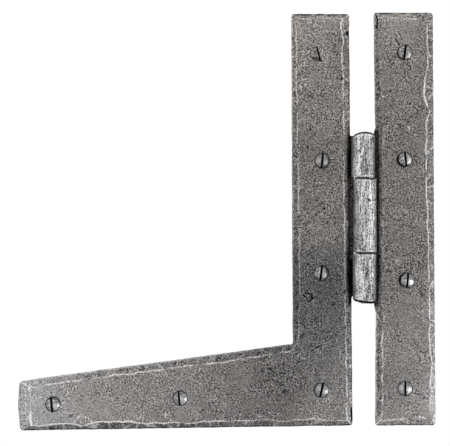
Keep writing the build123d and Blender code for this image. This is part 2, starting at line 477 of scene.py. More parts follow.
def lattice(low, high, spacing, rng):
    """A slightly shaken triangular lattice of points over a box."""
    rows = np.arange(low[1], high[1], spacing * 0.866)
    columns = np.arange(low[0], high[0], spacing)
    x = columns[None, :] + 0.5 * spacing * (np.arange(len(rows)) % 2)[:, None]
    z = np.repeat(rows[:, None], len(columns), axis=1)
    points = np.column_stack([x.ravel(), z.ravel()])
    return points + rng.uniform(-0.13, 0.13, points.shape) * spacing


def near_rim(points, corners, ring, side):
    """Distance to the wavering outline close to it or to a tab's end, and to the plain outline elsewhere."""
    distance = rim_distance(points, corners)
    tab_end = (side * points[:, 0] < 11) & (np.abs(points[:, 1]) > 40)
    near = distance < np.where(tab_end, 7.0, 2.0)
    distance[near] = rim_distance(points[near], ring)
    return distance


def circle(centre, radius, count):
    """Points round a circle, counter-clockwise."""
    turn = np.arange(count) * 2 * math.pi / count
    return np.column_stack([centre[0] + radius * np.cos(turn), centre[1] + radius * np.sin(turn)])


def ring_normals(ring):
    """Inward unit normals of a counter-clockwise closed ring."""
    along = np.roll(ring, -1, axis=0) - np.roll(ring, 1, axis=0)
    along /= lengths(along)[:, None]
    return np.column_stack([-along[:, 1], along[:, 0]])


def wavering_ring(corners, step, side):
    """The leaf's outline as points a step apart, wavering inwards as a forged edge does."""
    ring, amount, least = [], [], []
    for a, b in edges_of(corners):
        count = max(1, round(np.linalg.norm(b - a) / step))
        rolled = max(-side * a[0], -side * b[0]) > 0.5
        for i in range(count):
            ring.append(a + (b - a) * i / count)
            amount.append(0.34 if rolled else 0.22)
            least.append(0.0 if rolled else EDGE_BULGE)
    ring = np.array(ring)
    x, z = ring.T
    waver = 0.5 + 0.35 * middle_grain(x + 7, z + 3, 7.0) + 0.2 * fine_grain(x, z, 2.2)
    inset = np.array(least) + np.array(amount) * np.clip(waver, 0, 1)
    ring = ring + ring_normals(ring) * inset[:, None]
    for _ in range(2):
        ring = eased(ring)
    return ring


def band(first, second):
    """Quads between two closed rings of vertex indices, for a wall whose outside is on the right of first."""
    one, two = np.roll(first, -1), np.roll(second, -1)
    return np.column_stack([one, first, second, two])


def placed(name, data):
    """A new object in the scene."""
    made = bpy.data.objects.new(name, data)
    bpy.context.collection.objects.link(made)
    return made


def write_mesh(name, vertices, tris, quads, sharp=50):
    """A mesh object from vertices in millimetres."""
    mesh = bpy.data.meshes.new(name)
    faces = [tuple(map(int, f)) for f in tris] + [tuple(map(int, f)) for f in quads]
    mesh.from_pydata([tuple(v) for v in np.asarray(vertices) * MM], [], faces)
    mesh.validate()
    mesh.polygons.foreach_set("use_smooth", [True] * len(mesh.polygons))
    mesh.set_sharp_from_angle(angle=math.radians(sharp))
    mesh.update()
    return placed(name, mesh)


def read_positions(mesh):
    """Vertex positions in millimetres, vertex normals, and edges as index pairs."""
    n = len(mesh.vertices)
    position, normal = np.empty(n * 3), np.empty(n * 3)
    mesh.vertices.foreach_get("co", position)
    mesh.vertices.foreach_get("normal", normal)
    edges = np.empty(len(mesh.edges) * 2, int)
    mesh.edges.foreach_get("vertices", edges)
    return position.reshape(-1, 3) / MM, normal.reshape(-1, 3), edges.reshape(-1, 2)


def neighbour_mean(values, edges, count):
    """Each vertex's mean over its neighbours."""
    near = np.bincount(edges.ravel(), minlength=count)
    total = np.bincount(edges[:, 0], values[edges[:, 1]], minlength=count)
    total += np.bincount(edges[:, 1], values[edges[:, 0]], minlength=count)
    return total / np.maximum(near, 1)


def convexity(mesh):
    """How far each vertex stands out from its surroundings, in 1/mm, blurred once."""
    position, normal, edges = read_positions(mesh)
    n = len(position)
    mean = np.column_stack([neighbour_mean(position[:, k], edges, n) for k in range(3)])
    gap = lengths(position[edges[:, 0]] - position[edges[:, 1]])
    reach = np.bincount(edges[:, 0], gap**2, minlength=n) + np.bincount(edges[:, 1], gap**2, minlength=n)
    reach /= np.maximum(np.bincount(edges.ravel(), minlength=n), 1)
    bend = np.sum((position - mean) * normal, axis=1) / np.maximum(reach, 0.02)
    return 0.5 * bend + 0.5 * neighbour_mean(bend, edges, n)


def paint(mesh, **values):
    """Values for each vertex, or one for all, which the materials read by name."""
    for name, value in values.items():
        value = np.zeros(len(mesh.vertices)) + value
        mesh.attributes.new(name, "FLOAT", "POINT").data.foreach_set("value", value)


# --- the leaves ---
FACE_FINE = 0.78
RIM_FINE = 0.45
RIM_BAND = 6.6
ROLL_FINE = 0.42
RIM_STEP = 0.55
HOLE_POINTS = 60
SEAT_RINGS = (3.3, 4.1, SEAT_R - 0.12, SEAT_R + 0.12, SEAT_R + 0.45, SEAT_R + 0.95)
WALL_ROWS = 7
UNDER_BARREL = 5.9
END_TAPER = 8.0
EDGE_BULGE = 0.16
BEYOND = 400.0
# How dark the walls of the plate's edges and holes are drawn.
WALL_DARKENING = 0.5
# The ring on the middle knuckle's ends, the grooves that take it, and the door leaf's flat tabs' clearance.
RING_PROUD = 0.66
GROOVE_DEPTH = 0.56
TAB_SET_BACK = 0.45


def wrap(points, height, side):
    """Points of the flat plate at a height above its back, in space. Past x = 0 the plate is rolled."""
    rolled = np.maximum(-side * points[:, 0], 0)
    angle = rolled / BARREL_R
    reach = BARREL_R - height
    x = np.where(rolled > 0, -side * reach * np.sin(angle), points[:, 0])
    y = np.where(rolled > 0, PIN_Y + reach * np.cos(angle), -height)
    return np.column_stack([x, y, points[:, 1]])


def leaf_points(ring, corners, side, holes, hole_rings, offsets, zones, rng):
    """Points of one side of a leaf: the outline's and the holes' rims, and what lies between them.

    A zone is a spacing, the x it runs between, and the distances from the outline that it runs between."""
    rims = [ring] + [circle(c, HOLE_R, HOLE_POINTS) for c in holes]
    inner = [ring + ring_normals(ring) * d for d in offsets]
    inner = [p[rim_distance(p, ring) > 0.85 * d] for p, d in zip(inner, offsets)]
    inner += [circle(c, r, HOLE_POINTS) for c in holes for r in hole_rings]
    for spacing, low_x, high_x, nearest, farthest in zones:
        low = np.array([max(low_x, ring[:, 0].min()), ring[:, 1].min()])
        high = np.array([min(high_x, ring[:, 0].max()), ring[:, 1].max()])
        points = lattice(low, high, spacing, rng)
        points = points[inside(points, corners)]
        distance = near_rim(points, corners, ring, side)
        least = max(nearest, offsets[-1] + 0.2 + 0.3 * spacing)
        keep = (distance > least) & (distance < farthest)
        close = np.flatnonzero(keep & (distance < 7))
        keep[close] = inside(points[close], ring)
        points = points[keep]
        clear = max(hole_rings) + 0.4 * spacing
        for c in holes:
            points = points[lengths(points - c) > clear]
        inner.append(points)
    return np.vstack(rims), np.vstack(inner)


def end_profile(t, side):
    """The knuckles' end faces: the middle one's low ring round the pin, and its neighbours' groove for it."""
    if side == FRAME_SIDE:
        return RING_PROUD * (smooth(t, 0.25, 0.4) * fade(t, 0.6, 0.75))
    return -GROOVE_DEPTH * smooth(t, 0.1, 0.25) * fade(t, 0.75, 0.9)


def parted(split, side):
    """The ranges of x on the pin's side and on the leaf's side of a split."""
    return sorted((split, -side * BEYOND)), sorted((split, side * BEYOND))


def leaf_sheets(ring, corners, side, holes, rng):
    """Points and triangles of a leaf's front and back, fine where they show. They share their rims' points."""
    pin_zone, leaf_zone = parted(-2.0 * side, side)
    front_zones = ((1.6, *pin_zone, 0, BEYOND), (RIM_FINE, *leaf_zone, 0, RIM_BAND),
                   (FACE_FINE, *leaf_zone, RIM_BAND + 0.3, BEYOND))
    pin_zone, leaf_zone = parted(1.0 * side, side)
    back_zones = ((ROLL_FINE, *pin_zone, 0, BEYOND), (1.8, *leaf_zone, 0, BEYOND))
    rims, front = leaf_points(ring, corners, side, holes, SEAT_RINGS, (0.22, 0.5, 0.85), front_zones, rng)
    hole_rings = (HOLE_R + 0.3, HOLE_R + 1.2)
    _, back = leaf_points(ring, corners, side, holes, hole_rings, (0.2, 0.5), back_zones, rng)
    sizes = [len(ring)] + [HOLE_POINTS] * len(holes)
    edges = [(c, HOLE_R) for c in holes]
    front, back = np.vstack([rims, front]), np.vstack([rims, back])
    return sizes, front, triangulate(front, sizes, ring, edges), back, triangulate(back, sizes, ring, edges)


def leaf_walls(sizes, front, front_up, back_up, side):
    """The walls from the front's rims to the back's: their own points in space, and quads for all of them."""
    made, quads, first, start = [], [], 0, len(front) + len(back_up)
    for k, size in enumerate(sizes):
        span = slice(first, first + size)
        rim, top, bottom = front[span], front_up[span], back_up[span]
        rows = [np.arange(first, first + size)]
        out = -ring_normals(rim) if k == 0 else np.zeros_like(rim)
        on_end = smooth(-side * rim[:, 0], 0.5, 2.0)
        for i in range(1, WALL_ROWS):
            t = i / WALL_ROWS
            swell = np.clip(0.6 + 0.5 * middle_grain(rim[:, 0] + 3 * i, rim[:, 1], 1.6), 0, 1)
            rough = EDGE_BULGE * math.sin(math.pi * t) * swell
            bulge = rough * (1 - on_end) + end_profile(t, side) * on_end
            made.append(wrap(rim + out * bulge[:, None], top * (1 - t) + bottom * t, side))
            rows.append(np.arange(start, start + size))
            start += size
        rows.append(np.arange(len(front) + first, len(front) + first + size))
        for upper, lower in zip(rows, rows[1:]):
            quads.append(band(upper, lower) if k == 0 else band(lower, upper))
        first += size
    return np.vstack(made), np.vstack(quads)


def forged_leaf(name, node, side, bevels, shifts, end_drops, narrows, seed):
    """A leaf as one closed mesh: plate with hammered edges, seats for the screws, and rolled knuckles."""
    flat = back_corners(node)
    blows = bevel_blows(flat[~is_tab(flat)], bevels, seed)
    corners = np.array(reach_in(flat, narrows, side))
    corners[np.abs(corners[:, 0]) < 0.05, 0] = -side * ROLL_LENGTH
    ring = wavering_ring(corners, RIM_STEP, side)
    ring = round_corners(ring, flat[~is_tab(flat) & turns_out(flat)])
    ring = drop_ends(ring, end_drops, side)
    screws = [s for s in SCREWS if (seat_centre(s)[0] > 0) == (side == FRAME_SIDE)]
    holes = [seat_centre(s) for s in screws]
    rng = np.random.default_rng(seed)
    sizes, front, front_tris, back, back_tris = leaf_sheets(ring, corners, side, holes, rng)

    seats = [(c, SCREWS[s].ring_black, SCREWS[s].silt_side) for c, s in zip(holes, screws)]
    front_up, wear, grime, skin = leaf_front(front, blows, seats, near_rim(front, corners, ring, side))
    rolled = np.maximum(-side * back[:, 0], 0)
    shift = side * sum(amount * ((back[:, 1] > low) & (back[:, 1] < high)) for low, high, amount in shifts)
    back_up, back_wear, back_grime = leaf_back(back, rolled, near_rim(back, corners, ring, side), shift, side)

    walls, quads = leaf_walls(sizes, front, front_up, back_up, side)
    vertices = np.vstack([wrap(front, front_up, side), wrap(back, back_up, side), walls])
    piece = write_mesh(name, vertices, np.vstack([front_tris, back_tris[:, ::-1] + len(front)]), quads)
    on_walls = np.zeros(len(walls))
    finish_leaf(piece, np.concatenate([wear, back_wear, on_walls]),
                np.concatenate([grime, back_grime, on_walls + WALL_DARKENING]),
                np.concatenate([skin, 0 * back_wear, on_walls]),
                np.concatenate([0 * wear, smooth(rolled, 1.0, 4.0), on_walls]))
    return piece


def reach_in(corners, narrows, side):
    """The outline with its pin-side edge led under the barrel's flank where the other leaf's knuckles are."""
    out = []
    for i, (x, z) in enumerate(corners):
        onward = corners[(i + 1) % len(corners)]
        inner_tab = 1 < abs(x) < 12 and abs(z) < 30
        out.append((side * UNDER_BARREL, z) if inner_tab else (x, z))
        if 1 < abs(x) < 12 and 1 < abs(onward[0]) < 12:
            low, high = sorted((z, onward[1]))
            steps = [(side * edge, at) for at, edge in narrows if low + 0.3 < at < high - 0.3]
            out += sorted(steps, key=lambda c: abs(c[1] - z))
    return out


def round_corners(ring, corners, radius=2.2, passes=14):
    """The outline with its leaf's corners rubbed round."""
    near = (np.linalg.norm(ring[:, None] - corners[None], axis=2) < radius).any(axis=1)[:, None]
    for _ in range(passes):
        ring = np.where(near, eased(ring), ring)
    return ring


def drop_ends(ring, end_drops, side):
    """The outline with a knuckle's end set back by an amount for each angle round the barrel, in degrees."""
    rolled, z = -side * ring[:, 0], ring[:, 1]
    moved = np.zeros(len(ring))
    for end, drops in end_drops.items():
        back = np.interp(np.degrees(rolled / BARREL_R), *zip(*drops)) * smooth(rolled, -16, -12)
        moved -= math.copysign(1, end) * back * np.clip(1 - np.abs(z - end) / END_TAPER, 0, 1)
    return np.column_stack([ring[:, 0], z + moved])


def finish_leaf(piece, wear, grime, skin, roll):
    """The leaf's vertex values for its material, with wear added where the metal stands out sharply, painted
    shade in hollows, and painted highlight and shade bands on the knuckles.
    """
    mesh = piece.data
    bend = convexity(mesh)
    position, _, _ = read_positions(mesh)
    tone, warm = tone_at(position)
    wear = np.maximum(wear, 0.7 * smooth(bend, 0.12, 0.5))
    wear = wear * (roll + (1 - roll) * (0.5 + 0.5 * smooth(tone, 0.36, 0.54)))
    # On the knuckles the tone carries painted highlight and shade bands across the front.
    roll_tone_and_light = ROLL_TONE + sum(
        np.interp(position[:, 0] + 0.6 * middle_grain(position[:, 2], position[:, 0] * 0, 4.0), *zip(*changes))
        * ((position[:, 2] > low) & (position[:, 2] <= high)) for low, high, changes in ROLL_LIGHT_BANDS)
    # Darker where the surface is hollow: painted shade.
    grime = np.clip(np.maximum(grime, 0.6 * smooth(-bend, 0.10, 0.5)), 0, 1)
    paint(mesh, wear=np.clip(wear, 0, 1), grime=grime, tone=(tone + skin) * (1 - roll) + roll_tone_and_light * roll,
          warm=warm * (1 - roll) * (1 - wear), roll=roll)


ROLL_TONE = 0.645
# Painted highlight and shade bands across each knuckle's front, making its skin lighter or darker: the z it
# lies between, and (x, change of tone).
ROLL_LIGHT_BANDS = (
    (26, 60, ((-7, 0), (-4.4, 0.08), (-2.5, 0.15), (-1.9, 0.02), (-1.2, -0.06), (1.9, -0.12), (2.5, -0.02),
              (4.2, -0.01), (5.5, -0.09), (7, -0.12))),
    (-24, 26, ((-7, -0.05), (-4.5, -0.03), (-3, -0.05), (-1.5, -0.02), (-0.5, 0.02), (1, 0.05), (3.6, 0.04),
               (5, 0), (7, -0.01))),
    (-60, -24, ((-7, -0.01), (-4.6, 0.05), (-2, 0.08), (0, 0.02), (2, -0.08), (4, -0.05), (7, -0.08))),
)
# The patina by place: (x, z), its lightness as the eye sees it (0 black, 1 white), and how warm it is.
TONES = (
    ((-208, -116), 0.635, 0), ((-188, -116), 0.60, 0.1), ((-165, -114), 0.545, 0.4),
    ((-130, -112), 0.515, 0.4), ((-100, -108), 0.50, 0.3), ((-77, -104), 0.46, 0.3),
    ((-54, -104), 0.375, 0.3), ((-26, -119), 0.50, 0.4), ((-12, -110), 0.52, 0.3), ((-22, -98), 0.405, 0.3),
    ((-28, -70), 0.385, 0.1), ((-28, -48), 0.345, 0.1), ((-26, -29), 0.33, 0.2), ((-27, -10), 0.48, 0.4),
    ((-27, 14), 0.45, 0.6), ((-27, 32), 0.42, 0.7), ((-27, 60), 0.47, 0.8), ((-27, 107), 0.51, 1),
    ((-27, 124), 0.55, 1), ((25, 124), 0.59, 1), ((25, 105), 0.48, 1), ((25, 80), 0.465, 1),
    ((25, 58), 0.46, 0.9), ((25, 40), 0.42, 0.8), ((25, 15), 0.455, 0.8), ((25, -9), 0.465, 0.6),
    ((25, -31), 0.42, 0.5), ((25, -55), 0.475, 0.5), ((25, -80), 0.52, 0.5), ((25, -100), 0.46, 0.4),
    ((25, -120), 0.52, 0.3), ((43, 110), 0.40, 0), ((43, 40), 0.46, 0), ((43, -60), 0.53, 0.2),
    ((43, -110), 0.66, 0.2), ((-10, 105), 0.41, 0.6), ((-10, -100), 0.49, 0.3),
)
TONE_REACH = 16.0


def tone_at(position):
    """The patina's lightness and warmth at each vertex, blended between the places in TONES."""
    blend, weights = np.zeros((2, len(position))), np.full(len(position), 1e-9)
    for (x, z), lightness, warmth in TONES:
        d2 = (position[:, 0] - x) ** 2 + (position[:, 2] - z) ** 2
        weight = 1 / (1 + d2 / TONE_REACH**2) ** 2
        blend += weight * np.array([[lightness], [warmth]])
        weights += weight
    return blend / weights


# --- the screws ---
# Each screw: its slot's lean from upright in degrees (positive to the door side), how much lower than the rest
# its crown is, how bright the painted highlight on its crown is, its slot's half width, how dark the painted
# shadow in the ring round it is, how far its slot is off centre, the slot's depth, how much the slot widens
# downwards, and the side where that painted shadow falls thickest, in degrees from +X, upwards.
Looks = namedtuple("Looks", "lean low_crown worn slot_half ring_black off_centre slot_depth widening silt_side")
SCREWS = {
    "door_screw_top": Looks(15, 1.3, 0, 0.50, 0.14, 0.3, 1.9, 0.15, -152),
    "door_screw_upper": Looks(-6, 0, 0.15, 0.66, 0.80, 0, 1.9, 0, -75),
    "door_screw_lower": Looks(-7, 0, 0.30, 0.66, 0.70, 0, 1.9, 0, 10),
    "door_screw_corner": Looks(-13, 0, 0.40, 0.74, 0.70, 0, 1.9, 0, 160),
    "arm_screw_middle": Looks(5, 0, 0.60, 0.62, 0.55, -0.7, 1, 0, 115),
    "arm_screw_tip": Looks(5, 0, 0.70, 0.70, 0.75, -0.75, 1.9, 0, 80),
    "frame_screw_top": Looks(-8, 0.2, 0.10, 0.68, 0.80, 0, 1.9, 0, -152),
    "frame_screw_upper": Looks(7, 0, 0.35, 0.64, 1.00, 0.4, 1.9, 0, -152),
    "frame_screw_lower": Looks(-5, 0, 0.70, 0.66, 1.00, 0.3, 1.9, 0, 175),
    "frame_screw_bottom": Looks(0, 0, 0.75, 0.66, 0.50, 0, 1, 0, 150),
}
SCREW_TONE = 0.56
# Where the painted highlight lies on each crown: (x, z) from the head's middle.
HIGHLIGHT_SPOT = np.array([1.9, -1.2])
LEVELLED_SILT = np.array([-0.35, -0.94])
HEAD_RIM = 0.8
SLOT_WALL = 0.05
HEAD_POINTS = 96
SHANK_R = 2.4
ROOT_R = 1.65
SHANK_LENGTH = 8.4
THREAD_PITCH = 1.95
POINT_LENGTH = 5.0
THREAD_STEP = 0.16


def seat_centre(screw):
    """A screw's place (x, z) in its leaf."""
    low, high = node_box(screw)
    return np.array([(low[0] + high[0]) / 2, (low[2] + high[2]) / 2])


def thread_radius(depth, turn, length):
    """The screw's radius below its head, at a depth and at an angle round it in turns."""
    phase = (depth - SHANK_LENGTH) / THREAD_PITCH - turn
    crest = smooth(1 - np.abs(2 * (phase - np.floor(phase)) - 1), 0.45, 0.95)
    root = ROOT_R * np.clip((length - depth) / POINT_LENGTH, 0, 1) ** 0.75
    height = (SHANK_R - ROOT_R) * smooth(depth, SHANK_LENGTH - 0.5, SHANK_LENGTH + 1.5)
    height *= np.clip((length - depth) / 3.2, 0, 1)
    plain = fade(depth, SHANK_LENGTH - 0.3, SHANK_LENGTH + 1.0)
    return np.maximum(root + height * crest, 0.02) * (1 - plain) + SHANK_R * plain


def slot_axes(looks):
    """Unit vectors (x, z) along a screw's slot, upwards, and across it."""
    lean = math.radians(looks.lean)
    along = np.array([-math.sin(lean), math.cos(lean)])
    return along, np.array([along[1], -along[0]])


def half_slot(up, looks, head_r):
    """Half the slot's width at a distance up it from the head's middle."""
    return looks.slot_half * (1 - looks.widening * up / head_r)


def beside_slot(flat, looks, head_r):
    """How far points (x, z from a screw's middle) are from its slot's wall, negative in the slot."""
    along, across = slot_axes(looks)
    return np.abs(flat @ across - looks.off_centre) - half_slot(flat @ along, looks, head_r)


def head_points(looks, head_r, rng):
    """A screw head's rim, and the points inside it: rows along the slot's walls, and a lattice."""
    along, across = slot_axes(looks)
    inner = [circle((0, 0), head_r - d, HEAD_POINTS) for d in (0.12, 0.3)]
    chord = np.arange(-head_r + 0.15, head_r - 0.1, 0.22)
    slot_lines = (-SLOT_WALL, SLOT_WALL, SLOT_WALL + 0.14)
    for more in slot_lines:
        for sign in (-1, 1):
            aside = looks.off_centre + sign * (half_slot(chord, looks, head_r) + more)
            inner.append(np.outer(chord, along) + np.outer(aside, across))
    inner.append(lattice((-head_r, -head_r), (head_r, head_r), 0.3, rng))
    inner = np.vstack(inner)
    inner = inner[lengths(inner) < head_r - 0.1]
    beside = beside_slot(inner, looks, head_r)
    lines = np.min([np.abs(beside - more) for more in slot_lines], axis=0)
    return circle((0, 0), head_r, HEAD_POINTS), inner[(lines < 1e-6) | (lines > 0.1)]


def head_height(head, looks, head_r, crown, seed):
    """How high a screw's head stands above its seat: a worn dome, cut by the slot."""
    along, across = slot_axes(looks)
    bulge = crown - HEAD_RIM
    dome_r = (head_r**2 + bulge**2) / (2 * bulge)
    u, w = head @ along, head @ across
    dome = np.sqrt(np.maximum(dome_r**2 - lengths(head) ** 2, 0)) - (dome_r - crown)
    dome -= 0.05 * np.abs(middle_grain(u + 9 * seed, w, 1.3)) + 0.02 * np.abs(fine_grain(u, w + 5 * seed, 0.5))
    beside = beside_slot(head, looks, head_r)
    dome -= 0.10 * fade(beside, 0, 0.4) * (1 + middle_grain(u, w * 0 + seed, 1.1))
    floor = crown + looks.low_crown * 0.5 - looks.slot_depth + 0.06 * fine_grain(u, w, 0.6)
    return np.where(beside < 0, np.minimum(dome, floor), dome)


def rows_below_head(head_r, length):
    """The radius and height of each ring of points below a screw's dome: rim, underside, shank and thread."""
    turn = np.arange(HEAD_POINTS) / HEAD_POINTS
    rows = [(head_r + 0.02, HEAD_RIM * 0.5), (head_r - 0.06, 0.06), (head_r - 0.3, 0.0), (SHANK_R + 0.3, 0.0)]
    plain, cut = np.arange(1.2, SHANK_LENGTH, 1.2), np.arange(SHANK_LENGTH, length - 0.05, THREAD_STEP)
    return rows + [(SHANK_R, -0.3)] + [(thread_radius(d, turn, length), -d) for d in (*plain, *cut)]


def wood_screw(name, node, looks, seed):
    """A slotted round-head wood screw, its head's dome cut by the slot and its thread a true helix."""
    low, high = node_box(node)
    centre = seat_centre(node)
    head_r = (high[0] - low[0]) / 2 - 0.05
    seat_y = SEAT_DEPTH - PLATE
    length = high[1] - seat_y
    ring, inner = head_points(looks, head_r, np.random.default_rng(seed))
    head = np.vstack([ring, inner])
    tris = triangulate(head, [HEAD_POINTS], ring, [])
    top = head_height(head, looks, head_r, seat_y - low[1] - looks.low_crown, seed)

    unit = circle((0, 0), 1.0, HEAD_POINTS)
    vertices = [np.column_stack([head[:, 0], -top, head[:, 1]])]
    quads, upper, start = [], np.arange(HEAD_POINTS), len(head)
    for radius, height in rows_below_head(head_r, length):
        row = unit * np.reshape(radius, (-1, 1))
        vertices.append(np.column_stack([row[:, 0], np.full(HEAD_POINTS, -height), row[:, 1]]))
        lower = np.arange(start, start + HEAD_POINTS)
        quads.append(band(upper, lower))
        upper, start = lower, start + HEAD_POINTS
    vertices.append([[0, length, 0]])
    tip = [(int(b), int(a), start) for a, b in zip(upper, np.roll(upper, -1))]
    vertices = np.vstack(vertices) + [centre[0], seat_y, centre[1]]
    piece = write_mesh(name, vertices, np.vstack([tris, tip]), np.vstack(quads), sharp=40)
    finish_screw(piece, looks, centre, head_r, seat_y)
    return piece


def finish_screw(piece, looks, centre, head_r, seat_y):
    """The screw's values: worn edges, a painted crown highlight, painted shade round the rim and in the slot,
    and silt where the head is worn level.
    """
    bend = convexity(piece.data)
    position, _, _ = read_positions(piece.data)
    along, across = slot_axes(looks)
    flat = position[:, [0, 2]] - centre
    off = lengths(flat)
    on_head = position[:, 1] < seat_y - 0.05
    # Points in the slot, drawn dark: painted shade.
    sunk = on_head & (beside_slot(flat, looks, head_r) < 0.02)
    # A painted highlight on the crown, round its given spot, as strong as the screw's given brightening.
    crown_wear = looks.worn * fade(lengths(flat - HIGHLIGHT_SPOT), 1.0, 3.3) * on_head
    # Painted shadow round the head's edge, thickest on the screw's shaded side.
    dirt_and_shade = looks.ring_black * shadow_weight(flat / np.maximum(off, 0.1)[:, None], looks.silt_side)
    edge_shadow = dirt_and_shade * smooth(off, head_r * (0.93 - 0.24 * dirt_and_shade**2), head_r)
    levelled = float(looks.low_crown > 1)
    silt = 0.30 * smooth(-flat @ across, -0.1, 0.6) * smooth(-flat @ along, -2.4, 0.0)
    foot = 0.65 * smooth(flat @ LEVELLED_SILT, 1.8, 3.0) * smooth(-flat @ across, -1.0, 0.0)
    silt = levelled * np.maximum(silt, foot)
    tone, warm = tone_at(position)
    paint(piece.data, wear=np.clip(smooth(bend, 0.1, 0.9) * 0.5 * on_head + crown_wear, 0, 1),
          grime=np.clip(sunk + on_head * np.maximum(edge_shadow, silt), 0, 1),
          tone=SCREW_TONE + levelled * (tone - SCREW_TONE), roll=0, warm=levelled * warm)


# --- the pin ---
PIN_POINTS = 72
PIN_END_ROWS = 14


def peened_pin(name):
    """The pin, its two ends hammered over into low domes."""
    turn = circle((0, 0), 1.0, PIN_POINTS)
    edge_drop = 0.75
    radii = PIN_R * np.sin(np.linspace(0.06, math.pi / 2, PIN_END_ROWS))
    profile = [(r, edge_drop * (r / PIN_R) ** 2.2) for r in radii]
    low, high = pin_low[2], pin_high[2]
    shank = np.linspace(high - edge_drop - 0.3, low + edge_drop + 0.3, 60)
    rows = [(r, high - d, 1) for r, d in profile] + [(PIN_R - 0.01, z, 0) for z in shank]
    rows += [(r, low + d, 1) for r, d in reversed(profile)]
    vertices, quads = [], []
    for i, (r, z, beaten) in enumerate(rows):
        row = turn * r
        grain = np.abs(middle_grain(row[:, 0] + z, row[:, 1] + 4, 1.5))
        dents = beaten * 0.16 * grain * (1 - (r / PIN_R) ** 6)
        towards = -1 if z > 0 else 1
        vertices.append(np.column_stack([row[:, 0], row[:, 1] + PIN_Y, z + towards * dents]))
        if i:
            below = np.arange(PIN_POINTS) + PIN_POINTS * (i - 1)
            quads.append(band(below, below + PIN_POINTS))
    vertices += [[[0, PIN_Y, high - 0.02]], [[0, PIN_Y, low + 0.02]]]
    top, bottom = PIN_POINTS * len(rows), PIN_POINTS * len(rows) + 1
    last = PIN_POINTS * (len(rows) - 1)
    tris = [(top, i, (i + 1) % PIN_POINTS) for i in range(PIN_POINTS)]
    tris += [(bottom, last + (i + 1) % PIN_POINTS, last + i) for i in range(PIN_POINTS)]
    piece = write_mesh(name, np.vstack(vertices), tris, np.vstack(quads), sharp=60)
    bend = convexity(piece.data)
    # Worn bright where it stands out, and darker in its hollows: painted shade.
    paint(piece.data, wear=smooth(bend, 0.02, 0.4), grime=smooth(-bend, 0.02, 0.3), tone=0.55, roll=0, warm=0)
    return piece


# --- materials ---
class Nodes:
    """Short ways to add nodes to a material or a world and join them."""

    SPAN_SOCKETS = ("Value", "From Min", "From Max", "To Min", "To Max")

    def __init__(self, owner):
        owner.use_nodes = True
        self.tree = owner.node_tree
        self.tree.nodes.clear()

    def add(self, kind, **inputs):
        node = self.tree.nodes.new(kind)
        for key, value in inputs.items():
            self.join(value, node.inputs[key.replace("_", " ")])
        return node

    def join(self, value, socket):
        if isinstance(value, bpy.types.NodeSocket):
            self.tree.links.new(value, socket)
        else:
            socket.default_value = value

    def noise(self, vector, size, detail=4.0, roughness=0.55):
        """Noise from 0 to 1 with features of a size in millimetres."""
        made = self.add("ShaderNodeTexNoise", Vector=vector, Scale=1 / size, Detail=detail, Roughness=roughness)
        return made.outputs[0]

    def spots(self, vector, size):
        """Distance to the nearest of scattered spots, a size apart in millimetres."""
        return self.add("ShaderNodeTexVoronoi", Vector=vector, Scale=1 / size).outputs["Distance"]

    def math(self, operation, a, b=0.0):
        node = self.tree.nodes.new("ShaderNodeMath")
        node.operation = operation
        self.join(a, node.inputs[0])
        self.join(b, node.inputs[1])
        return node.outputs[0]

    times = partialmethod(math, "MULTIPLY")
    plus = partialmethod(math, "ADD")
    minus = partialmethod(math, "SUBTRACT")

    def span(self, value, low, high, to_low=0.0, to_high=1.0):
        """The value's range low to high carried onto another range, and held at its ends."""
        node = self.tree.nodes.new("ShaderNodeMapRange")
        for socket, number in zip(self.SPAN_SOCKETS, (value, low, high, to_low, to_high)):
            self.join(number, node.inputs[socket])
        return node.outputs[0]

    def mix(self, factor, a, b):
        """Colour a where the factor is 0 and b where it is 1."""
        node = self.tree.nodes.new("ShaderNodeMix")
        node.data_type = "RGBA"
        self.join(factor, node.inputs[0])
        self.join(a, node.inputs[6])
        self.join(b, node.inputs[7])
        return node.outputs[2]

    def attribute(self, name):
        node = self.tree.nodes.new("ShaderNodeAttribute")
        node.attribute_name = name
        return node.outputs["Fac"]

    def millimetres(self, stretch=(1, 1, 1)):
        """Object coordinates counted in millimetres, squeezed along an axis where features are to be long."""
        where = self.tree.nodes.new("ShaderNodeTexCoord").outputs["Object"]
        node = self.tree.nodes.new("ShaderNodeVectorMath")
        node.operation = "MULTIPLY"
        self.join(where, node.inputs[0])
        node.inputs[1].default_value = [s / MM for s in stretch]
        return node.outputs[0]

    def bump(self, height, strength, distance):
        return self.add("ShaderNodeBump", Height=height, Strength=strength, Distance=distance * MM).outputs[0]


def grey(level, warm=0.02):
    """A grey of a linear level, a little warm."""
    return (level * (1 + warm), level, level * (1 - 0.85 * warm), 1.0)


COOL = (0.985, 0.992, 1.012, 1.0)


def mottling(n, parts, middle=0.5):
    """One plus the parts, each a noise and how strongly it counts."""
    total = 1.0
    for value, strength in parts:
        total = n.plus(n.times(n.minus(value, middle), strength), total)
    return total


